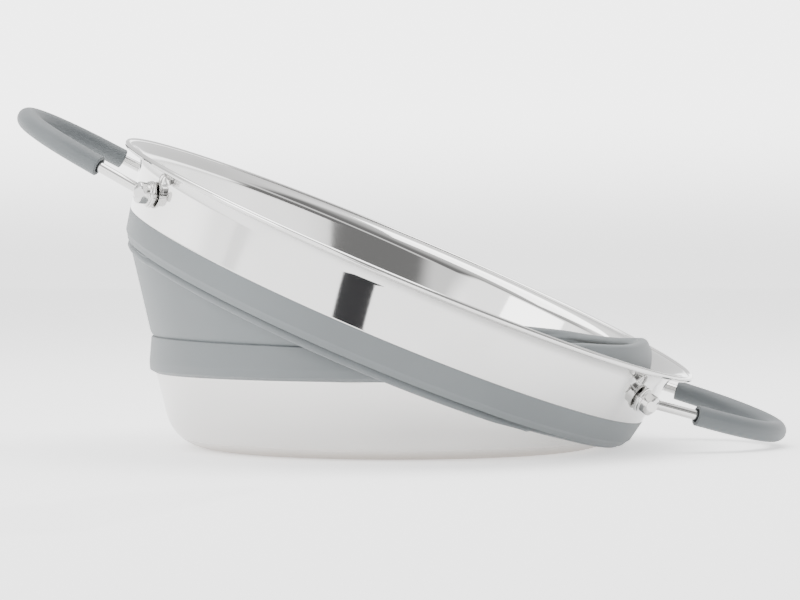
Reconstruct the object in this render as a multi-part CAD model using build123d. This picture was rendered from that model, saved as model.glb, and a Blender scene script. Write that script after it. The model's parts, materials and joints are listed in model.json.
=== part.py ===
from build123d import *
import os
from math import acos, asin, atan2, cos, degrees, hypot, radians, sin, tan

# Driving dimensions, in millimetres and degrees.

# Steel base.
base_top_radius = 110.0      # side at the silicone, outside
base_flare = 24.0            # how much narrower the flat of the bottom is
base_corner = 20.0           # round between the bottom and the side
base_side_top = 34.0
base_sheet = 0.9
base_lap = 9.0               # steel edge hidden in the silicone

# Lower silicone band.
low_band_wall = 3.0          # silicone outside the steel
low_band_high = 51.0         # top on the raised side
low_band_low = 45.5          # top on the side where the fold pulls it down
low_band_bevel = 1.7         # height of the bevel along its lower edge
low_band_swell = 0.2         # widest line, past the bevel
low_band_swell_height = 5.0
low_band_taper = 0.7         # how much narrower the top is

# Pose of the rim as photographed: heights of its band's underside, and where it lies.
raised_side = 97.11          # where the wall stands
lowered_side = 2.05          # where the wall is folded
downhill = -11.0             # compass direction in which the rim slopes, from +X
rim_shift = 6.43             # lip centre from the base axis, towards the low side

# Steel rim ring, as depths below the lip.
nesting = 18.6               # ring's side outside the base's side
flange_width = 11.4          # lip outside the ring's side
bead_diameter = 2.6
rim_sheet = 0.8
flange_radius = 8.0          # round between the ring's side and its flange
flange_fall = 0.6            # drop of the flange from the lip to the ring's side
ring_slope = 0.163           # how much the radius shrinks for each mm of depth
band_line = 27.8             # depth where the silicone begins
joggle_in = 1.4              # how far the hidden edge is set in
joggle_drop = 1.8            # depth over which it is set in
joggle_radius = 2.0
ring_edge_depth = 35.5       # steel edge hidden in the silicone

# Upper silicone band.
high_band_bottom = 41.0
high_band_corner = 38.3
high_band_proud = 0.1        # silicone outside the steel
high_band_bevel = 1.3        # height of the bevel at the corner
high_band_bevel_in = 0.9
high_band_cover = 3.3        # silicone inside the steel
high_band_rise = 2.4         # how far below the band line that cover starts
high_band_seal = 1.2         # feathered seal above the cover
hinge_width = 0.7            # underside where the wall hangs

# Folding silicone wall.
wall_thickness = 1.8
wall_foot_inset = 1.7        # centre of the wall inside the lower band's side
wall_head_inset = 3.325      # centre of the wall inside the ring's side, at its band's underside
wall_gap = 0.3               # open line between the wall and the lower band
head_gap = 1.2               # open line between the wall and the upper band
fold_round = 1.7             # radius of the bend at the crest
crest_inset = 1.6            # crest inside the line from foot to head, clear of the upper band
crest_out = 1.7              # crest of the fold outside the lower band
fold_bulge = 3.2             # how far the fold bows out round the base
band_inner_skin = 4.0        # band and its clearance, inside the ring's side
ring_inner_skin = 0.6        # clearance inside the bare steel
section_step = 15            # degrees between the wall's sections
leg_points = 4               # points up the inner leg of a section
crest_points = 5             # points over its crest

# Handles.
pivot_depth = 16.0
pivot_inset = 8.2            # pivot axis inside the ring's side, seen from above
handle_rise = 6.0            # handle above the plane of the lip
wire_diameter = 4.5
leg_half_gap = 51.0          # wire at the pivot, from the middle
leg_flare = 14.0             # degrees by which each leg leans inwards
loop_reach = 65.5            # pivot axis to the wire's far end
wire_bend = 4.5
wire_end_proud = 0.4         # wire past the lug's head
grip_start = 22.5            # pivot axis to the mouth of the grip
grip_wall = 2.35             # silicone round the wire
mouth_gap = 0.85             # recess round the wire at the grip's mouth
mouth_depth = 1.6
bore_clearance = 0.06

# Lugs that carry the handles, as heights above the ring's side.
lug_length = 9.0
lug_head_centre = 6.2        # pivot
lug_head_wall = 2.75         # metal beside the wire
lug_dome = 2.0               # height of the domed end
lug_bevel = 0.4
lug_flange_diameter = 11.6
lug_flange_start = 0.9
lug_flange_end = 2.4
lug_slit = 0.7               # slit between the flange and the head
lug_slit_depth = 0.8
lug_foot_diameter = 7.2
lug_weld = 0.15              # how deep the weld reaches into the ring

# Sizes that follow from those.
foot_radius = base_top_radius - base_flare
base_edge_top = base_side_top + base_lap
low_band_radius = base_top_radius + low_band_wall
ring_side_radius = base_top_radius + nesting
lip_radius = ring_side_radius + flange_width
wall_foot_radius = low_band_radius - wall_foot_inset
wall_head_radius = ring_side_radius - ring_slope * (high_band_bottom - pivot_depth) - wall_head_inset
wall_length = raised_side - low_band_high - head_gap
pivot_out = ring_side_radius - pivot_inset
lug_head_diameter = wire_diameter + 2 * lug_head_wall
grip_diameter = wire_diameter + 2 * grip_wall
tilt = degrees(asin((raised_side - lowered_side) / 2 / wall_head_radius))
lip_height = (raised_side + lowered_side) / 2 + high_band_bottom * cos(radians(tilt))

# Frames. The rim's own frame has its origin at the lip's centre and Z along its axis.
down = Vector(cos(radians(downhill)), sin(radians(downhill)), 0)
across = Vector(-sin(radians(downhill)), cos(radians(downhill)), 0)
up = Vector(0, 0, 1)
lip_centre = down * rim_shift + up * lip_height
rim_normal = up * cos(radians(tilt)) + down * sin(radians(tilt))
down_slope = down * cos(radians(tilt)) - up * sin(radians(tilt))
handle_line = down_slope * cos(radians(downhill)) - across * sin(radians(downhill))
rim_plane = Plane(origin=lip_centre, x_dir=handle_line, z_dir=rim_normal)


def ring_radius(depth):
    """Outside radius of the steel ring's side at a depth below the lip."""
    return ring_side_radius - ring_slope * (depth - pivot_depth)


def turned(section):
    """Solid of revolution about Z from a section drawn in the XZ plane."""
    return revolve(section, Axis.Z)


def outline(points):
    """Closed face in the XZ plane through (radius, height) points."""
    return Plane.XZ * make_face(Polyline(*points, close=True))


def sheet(points, radii, thickness):
    """Bent sheet of even thickness along a centre line in the XZ plane."""
    line = FilletPolyline(*points, radius=radii)
    return Plane.XZ * make_face(offset(line, amount=thickness / 2, side=Side.BOTH))


def corner_arc(corner, top_radius):
    """Start, middle and end of the base's round corner, where it runs on into a straight side."""
    wide, high = top_radius - foot_radius, base_side_top - base_corner
    end = atan2(high, wide) - acos(corner / hypot(wide, high))
    bearings = (radians(-90), (radians(-90) + end) / 2, end)
    return [(foot_radius + corner * cos(angle), base_corner + corner * sin(angle)) for angle in bearings]


# Steel base: a deep drawn dish with a tapered side and a straight edge under the silicone.
def make_base_bowl():
    inner_top = base_top_radius - base_sheet
    outer = corner_arc(base_corner, base_top_radius)
    inner = corner_arc(base_corner - base_sheet, inner_top)
    edges = [
        Line((0, 0), outer[0]),
        ThreePointArc(*outer),
        Polyline(outer[2], (base_top_radius, base_side_top), (base_top_radius, base_edge_top),
                 (inner_top, base_edge_top), (inner_top, base_side_top), inner[2]),
        ThreePointArc(*inner[::-1]),
        Polyline(inner[0], (0, base_sheet), (0, 0)),
    ]
    return turned(Plane.XZ * make_face(edges))


# Lower band: silicone moulded over the steel edge, its top pulled down on the low side.
def low_band_top(along):
    """Height of the lower band's top at a distance along the downhill direction."""
    middle = (low_band_high + low_band_low) / 2
    return middle - (low_band_high - low_band_low) / 2 * along / low_band_radius


def make_lower_band():
    inner = base_top_radius - base_sheet
    blank_top = low_band_high + 1
    section = outline([
        (base_top_radius, base_side_top),
        (low_band_radius, base_side_top + low_band_bevel),
        (low_band_radius + low_band_swell, base_side_top + low_band_swell_height),
        (low_band_radius - low_band_taper, low_band_high),
        (low_band_radius - low_band_taper, blank_top),
        (inner, blank_top),
        (inner, base_edge_top),
        (base_top_radius, base_edge_top),
    ])
    pull = degrees(atan2((low_band_high - low_band_low) / 2, low_band_radius))
    top_normal = up.rotate(Axis((0, 0, 0), across), pull)
    top_plane = Plane(origin=up * low_band_top(0), x_dir=across, z_dir=top_normal)
    return split(turned(section), bisect_by=top_plane, keep=Keep.BOTTOM)


# Steel ring: tapered side, flange and rolled bead, its lower edge set in by a joggle.
def make_rim_ring():
    half, bead = rim_sheet / 2, bead_diameter / 2
    points = [
        (ring_radius(ring_edge_depth) - half - joggle_in, -ring_edge_depth),
        (ring_radius(band_line + joggle_drop) - half - joggle_in, -band_line - joggle_drop),
        (ring_radius(band_line) - half, -band_line),
        (ring_radius(0) - half, -bead - flange_fall),
        (lip_radius - bead, -bead),
    ]
    skin = sheet(points, (joggle_radius, joggle_radius, flange_radius), rim_sheet)
    rolled_edge = Plane.XZ * (Pos(lip_radius - bead, -bead) * Circle(bead))
    return turned(skin + rolled_edge)


# Upper band: silicone over the ring's lower edge, with a bevelled underside.
def make_upper_band(ring):
    outer_top = ring_radius(band_line) + high_band_proud
    outer_low = ring_radius(high_band_corner) - high_band_proud
    cover = outer_top - high_band_cover
    bevel_top = -high_band_corner + high_band_bevel - hinge_width / 2
    section = outline([
        (outer_top, -band_line - high_band_proud),
        (outer_low, bevel_top),
        (outer_low - high_band_bevel_in, bevel_top - high_band_bevel),
        (wall_head_radius + 2 * hinge_width, -high_band_bottom),
        (wall_head_radius + hinge_width, -high_band_bottom),
        (wall_head_radius + 1.5 * hinge_width, -high_band_corner),
        (cover, -band_line - high_band_rise),
        (cover + rim_sheet, -band_line - high_band_seal),
        (cover + 2 * rim_sheet, -band_line - high_band_seal),
    ])
    return turned(section) - ring


# Folding wall: rises from the lower band, turns over at a crest and hangs down to the rim.
def wall_head(compass):
    """Radius and height of the wall's top, in the upright plane of a compass bearing."""
    drop = high_band_bottom + head_gap
    centre_out = rim_shift - drop * sin(radians(tilt))
    centre_high = lip_height - drop * cos(radians(tilt))
    a = wall_head_radius * cos(compass)
    b = wall_head_radius * cos(radians(tilt)) * sin(compass)
    bearing = atan2(b, a) + asin(centre_out * sin(compass) / hypot(a, b))
    along = centre_out + wall_head_radius * cos(bearing) * cos(radians(tilt))
    aside = wall_head_radius * sin(bearing)
    return hypot(along, aside), centre_high - wall_head_radius * cos(bearing) * sin(radians(tilt))


def keep_inside(compass, radius, height):
    """Radius of a point of the wall, drawn in where it would press into the rim."""
    spot = down * (radius * cos(compass)) + across * (radius * sin(compass)) + up * height - lip_centre
    depth = -spot.dot(rim_normal)
    if depth > high_band_bottom:
        return radius
    beside_band = depth > band_line - 1
    skin = band_inner_skin if beside_band else rim_sheet + ring_inner_skin
    off_axis = hypot(spot.dot(down_slope), spot.dot(across))
    limit = ring_radius(depth) - skin - wall_thickness / 2 - wall_gap
    return radius - max(off_axis - limit, 0.0) / cos(radians(tilt))


def smooth(value, low, high):
    """Smooth step from 0 at low to 1 at high."""
    part = min(max((value - low) / (high - low), 0.0), 1.0)
    return part * part * (3 - 2 * part)


def between(start, end, count):
    """Evenly spaced points from start up to, but not including, end."""
    parts = [step / count for step in range(count)]
    return [(start[0] + (end[0] - start[0]) * part, start[1] + (end[1] - start[1]) * part) for part in parts]


def wall_line(compass):
    """Centre line of the wall in one upright plane, as (radius, height) points."""
    foot = (wall_foot_radius, low_band_top(wall_foot_radius * cos(compass)) + wall_gap)
    head = wall_head(compass)
    rise = max((wall_length + head[1] - foot[1]) / 2, 1.35 * fold_round)
    fall = foot[1] + rise - head[1]
    low_side = smooth(cos(compass), -0.3, 0.8)

    # The crest stands over the foot where the wall is folded and nears the head where it stands.
    share = rise / (rise + max(fall, 0.0))
    free_crest = foot[0] + (head[0] - foot[0]) * share - crest_inset
    folded_crest = low_band_radius + crest_out - fold_round
    crest = (free_crest + (folded_crest - free_crest) * low_side, foot[1] + rise - fold_round)
    climb = between(foot, (crest[0] - fold_round, crest[1]), leg_points)
    turn = [radians(180 * (1 - step / crest_points)) for step in range(crest_points)]
    over = [(crest[0] + fold_round * cos(angle), crest[1] + fold_round * sin(angle)) for angle in turn]

    # The hanging leg bows out round the base, most in its upper part.
    drop = between((crest[0] + fold_round, crest[1]), head, 2 * leg_points) + [head]
    bow = fold_bulge * low_side * smooth(fall, wall_length * 0.45, wall_length)
    for step, (radius, height) in enumerate(drop):
        past = step / (len(drop) - 1)
        drop[step] = (radius + bow * sin(radians(180 * past ** 0.6)), height)

    # On the raised side the wall is stretched straight from foot to head.
    folded_line = climb + over + drop
    straight_line = between(foot, head, len(folded_line) - 1) + [head]
    folded = smooth(fall, 0.5, 9.0)
    pairs = zip(folded_line, straight_line)
    line = [(a[0] * folded + b[0] * (1 - folded), a[1] * folded + b[1] * (1 - folded)) for a, b in pairs]
    return [(keep_inside(compass, *point), point[1]) for point in line]


def wall_section(compass):
    """Closed face of the wall's thickness in one upright plane."""
    line = wall_line(compass)
    inside, outside = [], []
    for index, (radius, height) in enumerate(line):
        before = line[max(index - 1, 0)]
        after = line[min(index + 1, len(line) - 1)]
        run, rise = after[0] - before[0], after[1] - before[1]
        reach = wall_thickness / 2 / hypot(run, rise)
        outside.append((radius + rise * reach, height - run * reach))
        inside.append((radius - rise * reach, height + run * reach))
    upright = Plane(origin=(0, 0, 0), x_dir=down * cos(compass) + across * sin(compass),
                    z_dir=down * sin(compass) - across * cos(compass))
    return upright * make_face(Polyline(*outside, *inside[::-1], close=True))


def make_folding_wall():
    bearings = [radians(angle) for angle in range(0, 181, section_step)]
    half = loft([wall_section(bearing) for bearing in bearings])
    other = mirror(half, about=Plane(origin=(0, 0, 0), z_dir=across))
    return half + other


# Lug: a turned post with a flange at the ring and a domed head that is bored across.
def lug_bearing():
    """Angle round the ring at which a lug's head meets the pivot axis, and the lean of the ring's side."""
    lean = atan2(ring_slope, 1)
    return acos(pivot_out / (ring_side_radius + lug_head_centre * cos(lean))), lean


def make_lug(ring):
    bearing, lean = lug_bearing()
    out = Vector(cos(lean) * cos(bearing), cos(lean) * sin(bearing), -sin(lean))
    pivot = Vector(pivot_out, pivot_out * tan(bearing), -pivot_depth)
    foot = pivot - out * lug_head_centre
    flange, head = lug_flange_diameter / 2, lug_head_diameter / 2
    slit_top = lug_flange_end + lug_slit
    shoulder = lug_length - lug_dome
    dome_radius = (head ** 2 + lug_dome ** 2) / 2 / lug_dome
    profile = [
        Polyline(
            (0, -lug_weld), (lug_foot_diameter / 2, -lug_weld), (lug_foot_diameter / 2, lug_flange_start),
            (flange - lug_bevel, lug_flange_start), (flange, lug_flange_start + lug_bevel),
            (flange, lug_flange_end - lug_bevel), (flange - lug_bevel, lug_flange_end),
            (head - lug_slit_depth, lug_flange_end), (head - lug_slit_depth, slit_top),
            (head - lug_bevel, slit_top), (head, slit_top + lug_bevel), (head, shoulder),
        ),
        RadiusArc((head, shoulder), (0, lug_length), -dome_radius),
        Line((0, lug_length), (0, -lug_weld)),
    ]
    post = Plane(origin=foot, z_dir=out) * turned(Plane.XZ * make_face(profile))
    bore_plane = Plane(origin=pivot, z_dir=(0, 1, 0))
    bore = bore_plane * Cylinder(wire_diameter / 2 + bore_clearance, 4 * lug_head_diameter)
    return post - bore - ring


# Handle: a wire loop whose ends turn outwards into the lugs, with a moulded grip.
def loop_ends():
    """Far point of the loop's round end, and the points where the two straight legs meet it."""
    lean = radians(leg_flare)
    radius = (leg_half_gap * cos(lean) - loop_reach * sin(lean)) / (1 - sin(lean))
    meet, aside = loop_reach - radius + radius * sin(lean), radius * cos(lean)
    return (loop_reach, 0), (meet, aside), (meet, -aside)


def make_wire():
    far, near_leg, far_leg = loop_ends()
    bearing, _ = lug_bearing()
    end = pivot_out * tan(bearing) + lug_head_diameter / 2 + wire_end_proud
    first = FilletPolyline((0, end), (0, leg_half_gap), near_leg, radius=wire_bend)
    last = FilletPolyline(far_leg, (0, -leg_half_gap), (0, -end), radius=wire_bend)
    round_end = ThreePointArc(near_leg, far, far_leg)
    path = Wire([*first.edges(), round_end, *last.edges()])
    start = Plane(origin=(0, end, 0), z_dir=(0, -1, 0))
    return sweep(start * Circle(wire_diameter / 2), path=path)


def make_grip():
    far, near_leg, far_leg = loop_ends()
    lean = radians(leg_flare)
    mouth = (grip_start, leg_half_gap - grip_start * tan(lean))
    path = Wire([
        Line(mouth, near_leg),
        ThreePointArc(near_leg, far, far_leg),
        Line(far_leg, (mouth[0], -mouth[1])),
    ])
    start = Plane(origin=(*mouth, 0), z_dir=(cos(lean), -sin(lean), 0))
    sleeve = Circle(grip_diameter / 2) - Circle(wire_diameter / 2)
    recess = Circle(wire_diameter / 2 + mouth_gap) - Circle(wire_diameter / 2)
    grip = sweep(start * sleeve, path=path)
    for side in (1, -1):
        mouth_plane = Plane(origin=(mouth[0], side * mouth[1], 0), z_dir=(cos(lean), -side * sin(lean), 0))
        grip -= mouth_plane * extrude(recess, amount=mouth_depth, both=True)
    return grip


def handle_place(turn):
    """Location of a handle in the rim's frame; turn is 0 for the low end and 180 for the high end."""
    return Rot(0, 0, turn) * Pos(pivot_out, 0, -pivot_depth) * Rot(0, -handle_rise, 0)


ring = make_rim_ring()
wire, grip = make_wire(), make_grip()
half_turn = Rot(0, 0, 180)
back_lug = make_lug(ring)
front_lug = mirror(back_lug, about=Plane.XZ)
on_rim = rim_plane.location

pieces = {
    "base_bowl": make_base_bowl(),
    "lower_band": make_lower_band(),
    "folding_wall": make_folding_wall(),
    "upper_band": on_rim * make_upper_band(ring),
    "rim_ring": on_rim * ring,
    "lug_right_front": on_rim * front_lug,
    "lug_right_back": on_rim * back_lug,
    "lug_left_front": on_rim * half_turn * back_lug,
    "lug_left_back": on_rim * half_turn * front_lug,
    "handle_wire_right": on_rim * handle_place(0) * wire,
    "handle_wire_left": on_rim * handle_place(180) * wire,
    "grip_right": on_rim * handle_place(0) * grip,
    "grip_left": on_rim * handle_place(180) * grip,
}

os.makedirs("parts", exist_ok=True)
for name, piece in pieces.items():
    piece.label = name
    export_step(piece, f"parts/{name}.step")
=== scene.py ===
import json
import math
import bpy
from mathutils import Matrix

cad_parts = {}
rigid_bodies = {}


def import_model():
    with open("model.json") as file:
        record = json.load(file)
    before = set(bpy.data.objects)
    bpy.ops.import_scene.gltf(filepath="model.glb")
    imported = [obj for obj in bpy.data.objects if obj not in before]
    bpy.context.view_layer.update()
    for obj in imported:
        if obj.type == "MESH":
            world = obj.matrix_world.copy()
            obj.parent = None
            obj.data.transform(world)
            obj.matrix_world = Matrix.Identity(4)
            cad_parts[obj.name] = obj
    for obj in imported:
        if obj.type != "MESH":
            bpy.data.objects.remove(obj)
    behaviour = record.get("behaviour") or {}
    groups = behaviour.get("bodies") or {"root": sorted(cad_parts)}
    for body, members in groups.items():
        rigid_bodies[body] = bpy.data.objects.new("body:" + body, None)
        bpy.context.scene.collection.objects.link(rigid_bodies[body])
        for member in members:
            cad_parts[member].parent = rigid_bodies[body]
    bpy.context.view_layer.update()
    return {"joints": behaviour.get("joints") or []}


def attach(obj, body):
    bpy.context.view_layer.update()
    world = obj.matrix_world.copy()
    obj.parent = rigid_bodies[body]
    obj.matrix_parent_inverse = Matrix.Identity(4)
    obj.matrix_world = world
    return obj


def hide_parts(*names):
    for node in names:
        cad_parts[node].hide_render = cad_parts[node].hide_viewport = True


bl_info = {
    "name": "Collapsible Pot",
    "version": (1, 0, 0),
    "blender": (4, 5, 0),
    "location": "3D View > Sidebar > Pot",
    "description": "Finishes a collapsible cooking pot: steel, folding silicone wall, handles and studio",
    "category": "Object",
}

import bmesh
import bpy
from bpy.props import FloatProperty, FloatVectorProperty, IntProperty, PointerProperty
from mathutils import Matrix, Vector

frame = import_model()

MM = 0.001
UP = Vector((0, 0, 1))

# Meshes: points closer than MERGE are one point, and edges that turn more than CREASE stay sharp.
MERGE, SLIVER = 2e-6, 1e-7
CREASE = math.radians(40)


def length(name, description, millimetres):
    """A size in metres that the sidebar can change."""
    return FloatProperty(name=name, description=description, default=millimetres * MM, unit="LENGTH",
                         precision=5, min=0.0)


class PotSizes(bpy.types.PropertyGroup):
    foot_radius: length("Foot radius", "Flat of the steel base", 86)
    base_corner: length("Base corner", "Round between the bottom and the side", 20)
    base_radius: length("Base radius", "Top of the steel side", 110)
    base_top: length("Base side top", "Where the silicone begins", 34)
    base_edge: length("Base edge", "Hidden steel edge inside the silicone", 43)
    base_sheet: length("Base sheet", "Thickness of the base", 0.9)
    low_band_radius: length("Lower band radius", "Widest part of the lower band", 113)
    low_band_high: length("Lower band, high side", "Top of the lower band where the wall stands", 51)
    low_band_low: length("Lower band, low side", "Top of the lower band where the fold pulls it", 45.5)
    wall_thickness: length("Wall thickness", "Folding silicone wall", 1.8)
    wall_length: length("Wall length", "From band to band along the wall", 45)
    wall_foot: length("Wall foot radius", "Centre of the wall at the lower band", 111.3)
    wall_head: length("Wall head radius", "Centre of the wall at the upper band", 121.2)
    crest_round: length("Crest round", "Radius of the bend at the crest", 1.7)
    crest_radius: length("Crest radius", "Crest on the low side", 114.7)
    crest_bow: length("Crest bow", "How far the fold bows out round the base", 3.2)
    rib_drop: length("Rib drop", "How far the rib hangs below the upper band", 4.2)
    pleat_depth: length("Pleat depth", "Pleats of the fold on the low side", 1.9)
    foot_groove: length("Foot groove", "Groove between the wall and the lower band", 1.1)
    lip_radius: length("Lip radius", "Outside of the rolled edge", 140)
    bead_radius: length("Bead radius", "Rolled edge", 1.3)
    ring_sheet: length("Ring sheet", "Thickness of the rim ring", 0.8)
    flange_round: length("Flange round", "Radius between side and flange", 8)
    side_radius: length("Side radius", "Outside of the ring at the handles", 128.6)
    band_line: length("Band line", "Depth where the upper band begins", 27.8)
    band_corner: length("Band corner", "Depth of the upper band's lower corner", 38.3)
    band_bottom: length("Band bottom", "Depth of the upper band's underside", 41)
    pivot_depth: length("Pivot depth", "Handle pivots below the lip", 16)
    pivot_out: length("Pivot reach", "Handle pivots from the ring's axis", 120.4)
    wire_radius: length("Wire radius", "Handle wire", 2.25)
    leg_gap: length("Half leg gap", "Wire leg at the pivot, from the middle", 51)
    loop_reach: length("Loop reach", "Pivot to the wire's far end", 65.5)
    grip_start: length("Grip start", "Pivot to the mouth of the grip", 22.5)
    grip_radius: length("Grip radius", "Moulded grip", 4.6)
    crest_slack: FloatProperty(name="Crest slack", description="Share of the crest's height lost in pleats",
                               default=0.62, min=0.0, max=0.9, subtype="FACTOR")
    ring_slope: FloatProperty(name="Ring slope", description="Narrowing for the depth", default=0.163)
    leg_flare: FloatProperty(name="Leg flare", description="Lean of each wire leg", default=math.radians(14),
                             subtype="ANGLE")
    handle_rise: FloatProperty(name="Handle rise", description="Handle above the lip's plane",
                               default=math.radians(6), subtype="ANGLE")
    turns: IntProperty(name="Turning steps", description="Faces round each turned piece", default=256, min=48)


def colour(name, description, value):
    """A colour that the sidebar can change."""
    return FloatVectorProperty(name=name, description=description, default=value, subtype="COLOR", size=3,
                               min=0.0, max=1.0)


class PotFinish(bpy.types.PropertyGroup):
    steel: colour("Steel", "Polished steel", (0.66, 0.655, 0.645))
    satin: colour("Satin steel", "Steel of the base", (0.68, 0.668, 0.652))
    silicone: colour("Silicone", "Wall and bands", (0.128, 0.141, 0.146))
    grip: colour("Grip", "Moulded grips", (0.105, 0.116, 0.121))
    floor: colour("Floor", "Studio floor", (0.93, 0.93, 0.93))


def sizes():
    """The sizes that the sidebar shows."""
    return bpy.context.scene.pot_sizes


def finish():
    """The colours that the sidebar shows."""
    return bpy.context.scene.pot_finish


# Places that come from the frame's joints.

def joint(name):
    """The frame's entry for one joint; a missing joint stops the script."""
    return next(item for item in frame["joints"] if item["name"] == name)


def rim_frame():
    """Frame of the rim: origin at the lip's centre, X along the handles, Z along the ring's axis."""
    right = Vector(joint("handle_right_hinge")["pos_m"])
    left = Vector(joint("handle_left_hinge")["pos_m"])
    along = (right - left).normalized()
    aside = Vector(joint("handle_right_hinge")["axis"]).normalized()
    normal = along.cross(aside)
    centre = (right + left) / 2 + normal * sizes().pivot_depth
    return Matrix.Translation(centre) @ Matrix((along, aside, normal)).transposed().to_4x4()


def downhill():
    """Level direction in which the rim slopes, and the direction square to it."""
    across = -Vector(joint("fold_down")["axis"]).normalized()
    return across.cross(UP), across


# Meshes.

def rounded(points, radii, steps=6):
    """Polyline with each inner corner replaced by an arc of the given radius."""
    line = [Vector(points[0])]
    for before, corner, after, radius in zip(points, points[1:], points[2:], radii):
        corner = Vector(corner)
        to_before = (Vector(before) - corner).normalized()
        to_after = (Vector(after) - corner).normalized()
        half = to_before.angle(to_after) / 2
        centre = corner + (to_before + to_after).normalized() * radius / math.sin(half)
        start = corner + to_before * radius / math.tan(half) - centre
        end = corner + to_after * radius / math.tan(half) - centre
        for step in range(steps + 1):
            line.append(centre + (start.lerp(end, step / steps)).normalized() * radius)
    line.append(Vector(points[-1]))
    return line


def profile(corners, steps=6):
    """Outline from (out, up, round) corners; the first and the last are ends and have no round."""
    return rounded([corner[:2] for corner in corners], [corner[2] for corner in corners[1:-1]], steps)


def thickened(line, thickness):
    """Closed outline that lies half a thickness each side of an open line."""
    left, right = [], []
    for index, point in enumerate(line):
        run = (line[min(index + 1, len(line) - 1)] - line[max(index - 1, 0)]).normalized()
        normal = Vector((run.y, -run.x)) * thickness / 2
        left.append(point + normal)
        right.append(point - normal)
    return left + right[::-1]


def linked(name, data):
    """New object in the scene, at the origin."""
    made = bpy.data.objects.new(name, data)
    bpy.context.scene.collection.objects.link(made)
    return made


def new_piece(name, vertices, faces, material, place=None):
    """Mesh object at the origin with smooth faces and outward normals."""
    mesh = bpy.data.meshes.new(name)
    mesh.from_pydata([tuple(vertex) for vertex in vertices], [], faces)
    if place is not None:
        mesh.transform(place)
    mesh.materials.append(material)
    piece = linked(name, mesh)
    tidy(piece)
    return piece


def tidy(piece):
    """Merges doubles, points the faces outwards and shades them smooth but for real edges."""
    work = bmesh.new()
    work.from_mesh(piece.data)
    bmesh.ops.remove_doubles(work, verts=work.verts, dist=MERGE)
    bmesh.ops.dissolve_degenerate(work, dist=SLIVER, edges=work.edges)
    bmesh.ops.recalc_face_normals(work, faces=work.faces)
    work.to_mesh(piece.data)
    work.free()
    piece.data.shade_smooth()
    piece.data.set_sharp_from_angle(angle=CREASE)


def polar(radius, angle, height):
    """Point at a radius and angle round Z."""
    return Vector((radius * math.cos(angle), radius * math.sin(angle), height))


def turned(name, outlines, material, place=None, bend=None):
    """Closed outlines of (radius, height) spun round Z; bend may move each point."""
    steps = sizes().turns
    vertices, faces = [], []
    for outline in outlines:
        start = len(vertices)
        count = len(outline)
        for step in range(steps):
            angle = 2 * math.pi * step / steps
            for radius, height in outline:
                point = polar(radius, angle, height)
                vertices.append(bend(point) if bend else point)
        for step in range(steps):
            here, there = start + step * count, start + (step + 1) % steps * count
            for index in range(count):
                after = (index + 1) % count
                faces.append((here + index, there + index, there + after, here + after))
    return new_piece(name, vertices, faces, material, place)


def circle(centre, radius, steps=24):
    """Closed ring of points round a centre, in the plane of a section."""
    angles = [2 * math.pi * step / steps for step in range(steps)]
    return [Vector((centre[0] + radius * math.cos(angle), centre[1] + radius * math.sin(angle)))
            for angle in angles]


# Node trees.

class Value:
    """A shader socket that Python operators turn into Math nodes."""

    def __init__(self, nodes, socket):
        self.nodes = nodes
        self.socket = socket

    def math(self, operation, *others):
        values = {0: self}
        values.update({index + 1: other for index, other in enumerate(others)})
        return self.nodes.make("ShaderNodeMath", {"operation": operation}, values)

    def __add__(self, other):
        return self.math("ADD", other)

    __radd__ = __add__

    def __sub__(self, other):
        return self.math("SUBTRACT", other)

    def __rsub__(self, other):
        return self.nodes.make("ShaderNodeMath", {"operation": "SUBTRACT"}, {0: other, 1: self})

    def __mul__(self, other):
        return self.math("MULTIPLY", other)

    __rmul__ = __mul__


class Nodes:
    """Builds one node tree; make returns the first output, or a named one, as a Value."""

    def __init__(self, tree):
        self.tree = tree
        self.tree.nodes.clear()

    def put(self, kind, settings=None, inputs=None):
        node = self.tree.nodes.new(kind)
        for name, value in (settings or {}).items():
            setattr(node, name, value)
        for name, value in (inputs or {}).items():
            if isinstance(value, Value):
                self.tree.links.new(value.socket, node.inputs[name])
            else:
                node.inputs[name].default_value = value
        return node

    def make(self, kind, settings=None, inputs=None, output=0):
        return Value(self, self.put(kind, settings, inputs).outputs[output])

    def given(self, title):
        """One of a geometry tree's own inputs."""
        return Value(self, self.put("NodeGroupInput").outputs[title])

    def mix(self, factor, first, second):
        """First colour at factor 0, second at factor 1."""
        return self.make("ShaderNodeMix", {"data_type": "RGBA"}, {0: factor, 6: first, 7: second}, output=2)

    def noise(self, place, scale, detail=2.0):
        return self.make("ShaderNodeTexNoise", inputs={"Vector": place, "Scale": scale, "Detail": detail})

    def band(self, value, low, high):
        """0 below low, 1 above high, smooth between."""
        ends = {"Value": value, "From Min": low, "From Max": high}
        return self.make("ShaderNodeMapRange", {"interpolation_type": "SMOOTHSTEP"}, ends)


def material_nodes(name):
    """New material with an empty node tree."""
    made = bpy.data.materials.new(name)
    made.use_nodes = True
    return made, Nodes(made.node_tree)


def rgba(value):
    """Colour with full alpha."""
    return (value[0], value[1], value[2], 1.0)


# Drawing lines of the steel: how many per metre across them, and per radian along them.
LINES_ACROSS, LINES_ALONG = 900, 1.5
# Darker share of a colour where it is smeared, blotched or clouded.
SMEARED, BLOTCHED, CLOUDED, LIGHTENED = 0.94, 0.9, 0.95, 1.06
# Foot of the base: height over which the painted warm shade and the rougher steel fade, the shade's colour and
# its share.
FOOT_SHADE_HEIGHT, FOOT_SHADE_TONE, FOOT_SHADE_SHARE = (0.5 * MM, 6 * MM), (0.42, 0.375, 0.335, 1.0), 0.75
# Dust on the silicone: size of a speck, where specks gather, their colour and their share.
SPECK, SPECK_PLACES, SPECK_TONE, SPECK_SHARE = (0.02, 0.09), (0.58, 0.72), (0.36, 0.38, 0.39, 1.0), 0.25


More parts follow.
